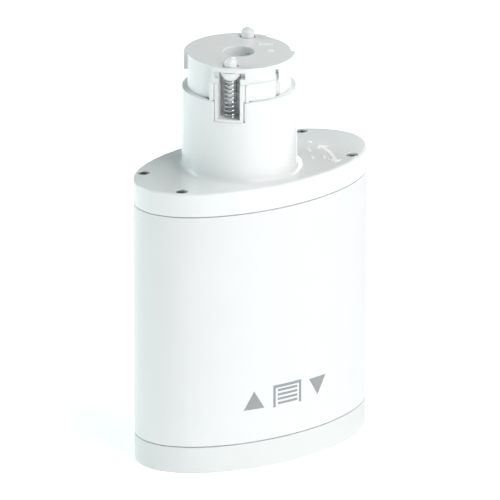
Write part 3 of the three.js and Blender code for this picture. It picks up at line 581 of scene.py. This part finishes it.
# ---------------------------------------------------------------- bayonet head
def bayonet_head():
    """Built with +X towards the first pin, then turned into place."""
    under = LEDGE + 0.05
    inner = 19  # inside the skirt's wall, so that what stands on it joins it
    skirt = tube(SKIRT_BORE_R, HEAD_R, under, CHANNEL_TOP)
    spigot = tube(SKIRT_BORE_R, NECK_BORE_R - 0.2, 144, LEDGE + 1)
    bore_wall = tube(BORE_R, 8.3, 151, CHANNEL_TOP)
    drum_floor = tube(BORE_R, 18.4, 150.4, 152)
    bearing_stop = tube(11.2, 13.4, 143, 151)
    parts = [skirt, spigot, bore_wall, drum_floor, bearing_stop]
    mouth = [(0, HEAD_TOP - 0.25), (BORE_R, HEAD_TOP - 0.25), (BORE_R + 0.35, HEAD_TOP + 0.1),
             (0, HEAD_TOP + 0.1)]
    tools = [lathe(mouth)]
    slits = []
    for about in (0, 180):
        def at(start, end, outer, z0, z1):
            return sector(inner, outer, start + about, end + about, z0, z1)

        def chute(r, z1):
            box = block(12.3, 24, -CHUTE_HALF, CHUTE_HALF, CHUTE_BOTTOM, z1)
            return turn(within(box, rod(r, 140, 170, count=ROUND)), about)

        lug = at(LUG_START, LUG_END, LUG_R, LUG_UNDERSIDE, HEAD_TOP)
        stop = at(STOP_START - 2, LUG_END, LUG_R, STOP_UNDERSIDE, HEAD_TOP)
        rib_heads = at(-RIB[1], RIB[1], LUG_R, RIB_TOP, LUG_UNDERSIDE + 0.1)
        between_ribs = at(-RIB[0] - 0.1, RIB[0] + 0.1, LUG_R - 0.1, under, RIB_TOP + 0.1)
        ribs = [at(-RIB[1], -RIB[0], NECK_R - 0.1, under, RIB_TOP + 0.1),
                at(RIB[0], RIB[1], NECK_R - 0.1, under, RIB_TOP + 0.1)]
        panel = at(RIB[1] - 0.2, STOP_START - 1.4, LUG_R - 0.8, under, RIB_TOP)
        parts += [lug, stop, rib_heads, between_ribs, *ribs, panel,
                  chute(LUG_R, CHANNEL_TOP), chute(NECK_R - 0.1, RIB_TOP)]
        channel = block(13.6, 25, -CHANNEL_HALF, CHANNEL_HALF, CHANNEL_FLOOR, CHANNEL_TOP)
        collar_slot = block(19, 25, -COLLAR_SLOT_HALF, COLLAR_SLOT_HALF, LUG_UNDERSIDE - 0.1, CHANNEL_TOP)
        pin_hole = rod(PIN_R + 0.5, CHANNEL_TOP - 1, HEAD_TOP + 1, PIN_REACH)
        core_hole = rod(1.6, 149, 153, 0, 15.6)
        tools += [turn(tool, about) for tool in (channel, collar_slot, pin_hole, core_hole)]
        step = block(9, 24, *SLIT_Y, STOP_UNDERSIDE - 0.5, LUG_UNDERSIDE)
        step = cut(step, rod(HEAD_R, 150, 170, count=ROUND))
        low_slit = block(SLIT_FLOOR, 20, *SLIT_Y, LEDGE - 1, STOP_UNDERSIDE + 0.2)
        high_slit = block(10, 20, *SLIT_Y, LUG_UNDERSIDE - 0.2, 164.2)
        slits += [turn(tool, about) for tool in (step, low_slit, high_slit)]
    body = cut(join(tube(BORE_R, HEAD_R, CHANNEL_TOP - 1, HEAD_TOP), *parts), *tools)
    body = cut(soften(body, 0.12), *slits)
    return turn(body, PIN_ANGLE, NECK_X)


piece(bayonet_head(), "bayonet_head", M["coupling_white"], "housing", ["coupling_head"])


def locking_pin(about):
    """A pin with a round end and a cone-shaped collar, about degrees round the head from the first pin."""
    top = HEAD_TOP + PIN_TRAVEL
    collar = CHANNEL_TOP - SEAM
    stem = [(0, 151.5), (1.4, 151.5), (1.6, 151.7), (1.6, COLLAR_FOOT)]
    cone = [(2.7, COLLAR_FOOT), (2.85, COLLAR_FOOT + 0.15), (COLLAR_R - 0.12, COLLAR_FOOT + 1.7),
            (COLLAR_R, COLLAR_FOOT + 2.0), (COLLAR_R, collar - 0.15), (COLLAR_R - 0.15, collar),
            (PIN_R, collar)]
    steps = [math.radians(12 * i) for i in range(7)]
    dome = [(PIN_R * math.cos(a), top - 2 + 2 * math.sin(a)) for a in steps]
    body = lathe(stem + cone + dome + [(0, top)], 56, PIN_REACH)
    body = within(body, rod(LUG_R - 0.15, 140, 175, count=ROUND))
    return turn(body, PIN_ANGLE + about, NECK_X)


def wire(points, r, sides=10):
    """A round wire through points."""
    rings = []
    for i, p in enumerate(points):
        ahead = Vector(points[min(i + 1, len(points) - 1)]) - Vector(points[max(i - 1, 0)])
        across = ahead.cross(Vector((0, 0, 1))).normalized()
        lift = across.cross(ahead).normalized()
        around = [2 * math.pi * j / sides for j in range(sides)]
        rings.append([tuple(Vector(p) + r * (across * math.cos(a) + lift * math.sin(a))) for a in around])
    return loft(rings)


def pin_spring(about):
    """A compression spring with closed, flattened ends."""
    per_turn = 28
    flat = 0.8  # turns at each end
    low = CHANNEL_FLOOR + 0.4
    steps = int(SPRING_TURNS * per_turn)
    points = []
    for i in range(steps + 1):
        t = i / per_turn
        a = 2 * math.pi * t
        free = min(max(t - flat, 0), SPRING_TURNS - 2 * flat) / (SPRING_TURNS - 2 * flat)
        closed = (min(t, flat) + max(t - SPRING_TURNS + flat, 0)) * 2 * WIRE_R
        z = low + closed + free * (SPRING_TOP - low - 4 * flat * WIRE_R)
        points.append((PIN_REACH + SPRING_R * math.cos(a), SPRING_R * math.sin(a), z))
    return turn(wire(points, WIRE_R), PIN_ANGLE + about, NECK_X)


for letter, about in (("a", 0), ("b", 180)):
    piece(locking_pin(about), f"locking_pin_{letter}_fine", M["white_gloss"], f"locking_pin_{letter}",
          [f"locking_pin_{letter}"])
    coil = piece(pin_spring(about), f"pin_spring_{letter}_fine", M["spring_steel"], "housing",
                 [f"pin_spring_{letter}"])
    heading = math.radians(PIN_ANGLE + about)
    x = NECK_X + PIN_REACH * math.cos(heading)
    y = PIN_REACH * math.sin(heading)
    foot = (MM * x, MM * y, MM * (CHANNEL_FLOOR + 0.1))
    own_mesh(coil)


# ---------------------------------------------------------------- drive socket
def hexagon(r):
    """r is to its corners."""
    return [(r * math.cos(math.radians(60 * i)), r * math.sin(math.radians(60 * i))) for i in range(6)]


spindle = [(0, 139), (3.9, 139), (3.9, 142), (3.4, 142), (3.4, 142.9), (3.9, 142.9), (3.9, 150.2),
           (5.6, 150.2)]
cup_rim = arc(5.1, 159, 0.5, 0, 90, 4) + [(4.4, 159.5), (4.0, 159.1), (0, 159.1)]
drive = cut(lathe(spindle + cup_rim, 64), prism(hexagon(3.75), 153.5, 162))
drive = turn(join(drive, prism(hexagon(3.46), 132.4, 139.5)), x=NECK_X)
piece(drive, "drive_socket", M["gear_steel"], "output", ["output_coupling"])


# ---------------------------------------------------------------- printed marks, all generic
def oval_angles(start, width):
    """Angles round the oval by arc length from start, as a list of (length, angle)."""
    steps = [(0.0, start)]
    length = 0.0
    a = start
    while length < width + 1:
        b = a + 0.002
        along = HALF_LENGTH * (math.cos(b) - math.cos(a))
        across = HALF_WIDTH * (math.sin(b) - math.sin(a))
        length += math.hypot(along, across)
        a = b
        steps.append((length, a))
    return steps


arc_steps = oval_angles(math.radians(PRINT_START), PRINT_LENGTH)


def on_sleeve(s, z, out):
    """A point at length s round the sleeve and height z, both from the print's lower left corner."""
    a = next(angle for length, angle in arc_steps if length >= s)
    x, y = oval_point(a, out)
    return x, y, PRINT_Z + z


def strip(s0, s1, z0, z1):
    """A rectangle on the sleeve, cut into short facets that follow the curve."""
    steps = max(1, math.ceil((s1 - s0) / 0.8))
    along = [s0 + (s1 - s0) * i / steps for i in range(steps + 1)]
    section = ((z0, -PRINT_DIP), (z0, PRINT_LIFT), (z1, PRINT_LIFT), (z1, -PRINT_DIP))
    return loft([[on_sleeve(s, z, out) for z, out in section] for s in along])


def triangle(s0, s1, flip):
    """A triangle on the sleeve between two lengths, which points up or, flipped, down."""
    rows = 16
    steps = 12
    foot = 0.8
    height = 7.6
    blunt = 0.02  # half the width of its tip
    middle = (s0 + s1) / 2
    half = (s1 - s0) / 2
    rings = []
    for i in range(rows + 1):
        t = i / rows
        z = foot + height * (1 - t if flip else t)
        left = middle - half * (1 - t) - blunt
        right = middle + half * (1 - t) + blunt
        row = [left + (right - left) * j / steps for j in range(steps + 1)]
        rings.append([on_sleeve(s, z, PRINT_LIFT) for s in row]
                     + [on_sleeve(s, z, -PRINT_DIP) for s in reversed(row)])
    return loft(rings)


def gather(bodies):
    """One mesh from several that don't overlap."""
    bm = bmesh.new()
    for body in bodies:
        bm.from_mesh(body.data)
        bpy.data.objects.remove(body)
    mesh = bpy.data.meshes.new("gathered")
    bm.to_mesh(mesh)
    bm.free()
    made = bpy.data.objects.new("gathered", mesh)
    scene.collection.objects.link(made)
    return made


def print_piece(body, name):
    piece(body, name, M["ink"], "housing")


shutter = [strip(14.5, 28, 8.2, 9.4), strip(14.5, 15.7, 0, 8.2), strip(26.8, 28, 0, 8.2)]
shutter += [strip(16.6, 25.9, 1.0 + 1.85 * i, 2.0 + 1.85 * i) for i in range(4)]
print_piece(gather(shutter), "print_shutter")
print_piece(triangle(1.5, 10.5, False), "print_up")
print_piece(triangle(32, 41, True), "print_down")


# ---------------------------------------------------------------- raised marks, all generic
def raised(outline, z):
    return soften(prism(outline, z - 0.1, z + MARK_HEIGHT), 0.08)


def arc_arrow(r, start, end, half):
    """A curved band round the neck's axis on the top plate, with an arrow head at each end."""
    steps = 24
    angles = [math.radians(start + (end - start) * i / steps) for i in range(steps + 1)]
    head = math.radians(4.5)
    first, last = angles[0], angles[-1]
    outline = [(r + half, a) for a in angles]
    outline += [(r + 3 * half, last), (r, last + head), (r - 3 * half, last)]
    outline += [(r - half, a) for a in reversed(angles)]
    outline += [(r - 3 * half, first), (r, first - head), (r + 3 * half, first)]
    return raised([(NECK_X + q * math.cos(a), q * math.sin(a)) for q, a in outline], PLATE_TOP)


def short_bar(r, degrees):
    """A small bar on the top plate, across the way to the neck's axis."""
    way = Vector((math.cos(math.radians(degrees)), math.sin(math.radians(degrees))))
    across = Vector((-way.y, way.x))
    middle = Vector((NECK_X, 0)) + way * r
    corners = ((-0.5, -1.2), (0.5, -1.2), (0.5, 1.2), (-0.5, 1.2))
    return raised([tuple(middle + way * a + across * b) for a, b in corners], PLATE_TOP)


# The raised marks take the brighter white, which is a painted highlight.
def raised_piece(body, name):
    piece(body, name, M["mark_white"], "housing")


raised_piece(arc_arrow(38.2, -29, -6, 0.9), "mark_turn_arrow")
for i, (r, degrees) in enumerate(((38, 7), (31.7, -6.5), (30, -21.5), (34.4, -23))):
    raised_piece(short_bar(r, degrees), f"mark_bar_{i + 1}")
head_arrow = [(-3.2, 0.2), (-1.6, -1.7), (-1.6, -0.5), (3.4, -0.5), (3.4, 0.9), (-1.6, 0.9), (-1.6, 2.1)]
head_bar = [(-1.3, -1.3), (1.3, -1.3), (1.3, 1.3), (-1.3, 1.3)]
for name, outline, x, y in (("arrow", head_arrow, 7.3, 0.7), ("bar", head_bar, 4.8, -7.0)):
    mark = turn(raised(outline, HEAD_TOP), HEAD_MARK_TURN, x, y)
    raised_piece(mark, f"mark_head_{name}")


# ---------------------------------------------------------------- underside
SOCKET_FACE = 0.7  # the sockets' faces stand back from the base by this
SOCKET_BACK = 19.9

shroud = prism(stadium(9.9, 5.6, INLET_X), SOCKET_FACE, SOCKET_BACK)
shroud = soften(cut(shroud, prism(stadium(7.7, 4.1, INLET_X), -1, 12)), 0.2)
piece(shroud, "mains_inlet", M["black_plastic"], "housing", ["power_inlet"])
blade_r = 1.15
blade_profile = [(0, 11.7), (blade_r, 11.7), (blade_r, 3.7), (0.9, 3.1), (0.4, 3.0), (0, 3.0)]
for i, sign in enumerate((-1, 1)):
    blade = lathe(blade_profile, SMALL, INLET_X + sign * 3.6)
    piece(blade, f"mains_pin_{i + 1}", M["brass"], "housing", [f"inlet_pin_{i + 1}"])

jack = prism(rounded(SOCKET_X - 6.6, SOCKET_X + 6.6, -6.5, 6.5, 0.4), SOCKET_FACE, SOCKET_BACK)
jack_mouth = block(SOCKET_X - 4.9, SOCKET_X + 4.9, -3.6, 4, -1, 12)
jack_latch = block(SOCKET_X - 2, SOCKET_X + 2, 3, 5.4, -1, 12)
jack = soften(cut(jack, jack_mouth, jack_latch), 0.12)
piece(jack, "control_jack", M["black_plastic"], "housing", ["control_socket"])
contact_middles = [SOCKET_X + x for x in (-3, -1.8, -0.6, 0.6, 1.8, 3)]
contacts = [block(x - 0.18, x + 0.18, -3.55, -2.5, 4, 11.9) for x in contact_middles]
piece(gather(contacts), "control_contacts", M["brass"], "housing")

button_face = [(0, 0.7), (1.3, 0.62), (2.0, 0.6), (2.25, 0.7), (2.4, 1.0), (2.4, 2.9)]
button_stem = [(3.6, 2.9), (3.6, 4.2), (1.2, 4.2), (1.2, 16.6), (0, 16.6)]
button = lathe(button_face + button_stem, 48, BUTTON_X)
piece(button, "setup_button_fine", M["coupling_white"], "setup_button", ["setup_button"])
lens = [(0, 0.5), (0.9, 0.55), (1.4, 0.7), (1.6, 1.1), (1.6, 2.8)]
light_stem = [(2.4, 2.8), (2.4, 3.8), (1.6, 3.8), (1.6, 18), (0, 18)]
light = lathe(lens + light_stem, SMALL, LIGHT_X)
piece(light, "light_pipe_fine", M["clear"], "housing", ["status_light_pipe"])


# ---------------------------------------------------------------- stage, camera and light
def floor_material():
    """A pale floor that glows by itself round the object, like a lit table. The glow fades with distance."""
    material, nodes, links = new_material("floor_white")
    shader = nodes["Principled BSDF"]
    shader.inputs["Base Color"].default_value = (0.96, 0.96, 0.96, 1)
    shader.inputs["Roughness"].default_value = 0.9
    shader.inputs["Specular IOR Level"].default_value = 0.0
    shader.inputs["Emission Color"].default_value = (0.96, 1, 1, 1)
    place = nodes.new("ShaderNodeTexCoord")
    distance = nodes.new("ShaderNodeVectorMath")
    distance.operation = "LENGTH"
    links.new(place.outputs["Object"], distance.inputs[0])
    glow = nodes.new("ShaderNodeMapRange")
    glow.inputs["From Min"].default_value = GLOW_REACH
    glow.inputs["From Max"].default_value = GLOW_REACH + GLOW_FADE
    glow.inputs["To Min"].default_value = GLOW
    glow.inputs["To Max"].default_value = 0.0
    links.new(distance.outputs["Value"], glow.inputs["Value"])
    links.new(glow.outputs["Result"], shader.inputs["Emission Strength"])
    return material


def direction(turn_angle, tilt_angle):
    """The way from the object to something turned from -Y and raised from the floor, in radians."""
    flat = math.cos(tilt_angle)
    return Vector((math.sin(turn_angle) * flat, -math.cos(turn_angle) * flat, math.sin(tilt_angle)))


def look_back(thing, way):
    """Points a camera or a lamp against the way that leads to it."""
    thing.rotation_euler = (-way).to_track_quat("-Z", "Y").to_euler()


floor_corners = ((-1, -1), (1, -1), (1, 1), (-1, 1))
floor = solid([(FLOOR_HALF * x, FLOOR_HALF * y, FLOOR_Z) for x, y in floor_corners], [(0, 1, 2, 3)])
floor.name = "floor"
floor.data.materials.append(floor_material())

towards = direction(VIEW_TURN, VIEW_TILT)
right = Vector((math.cos(VIEW_TURN), math.sin(VIEW_TURN), 0))
aim = Vector((0, 0, AIM_HEIGHT)) - right * AIM_LEFT
camera = bpy.data.objects.new("camera", bpy.data.cameras.new("camera"))
scene.collection.objects.link(camera)
camera.location = aim + towards * DISTANCE
look_back(camera, towards)
camera.data.sensor_width = SENSOR
camera.data.lens = SENSOR * DISTANCE / SPAN
camera.data.clip_end = 50
scene.camera = camera


def panel(name, turn_deg, tilt_deg, width, height, power, colour=(1.0, 1.0, 1.0)):
    """A soft box that faces the object. Its turn is counted from the camera's, to the right."""
    way = direction(VIEW_TURN + math.radians(turn_deg), math.radians(tilt_deg))
    data = bpy.data.lights.new(name, "AREA")
    data.shape = "RECTANGLE"
    data.size = width
    data.size_y = height
    data.energy = power
    data.color = colour
    lamp = bpy.data.objects.new(name, data)
    scene.collection.objects.link(lamp)
    lamp.location = Vector((0, 0, LIGHT_HEIGHT)) + way * LIGHT_DISTANCE
    look_back(lamp, way)


panel("key", 33, 20, 0.5, 1.0, 7.4)
panel("key_high", 45, 50, 0.6, 0.6, 2.8)
panel("front", -15, 20, 0.5, 1.0, 0.9, (0.9, 1.0, 1.0))
panel("side_high", 90, 60, 0.8, 0.8, 5.8)
panel("rim_left", -104, 20, 0.5, 1.0, 10.0, (0.87, 1.0, 0.99))
panel("back", 165, 20, 0.5, 1.0, 4.7)
world = bpy.data.worlds.new("world")
scene.world = world
world.use_nodes = True
world.node_tree.nodes["Background"].inputs["Color"].default_value = (0.97, 0.99, 1.0, 1)
world.node_tree.nodes["Background"].inputs["Strength"].default_value = 0.01
scene.view_settings.view_transform = "Standard"
scene.view_settings.look = "None"
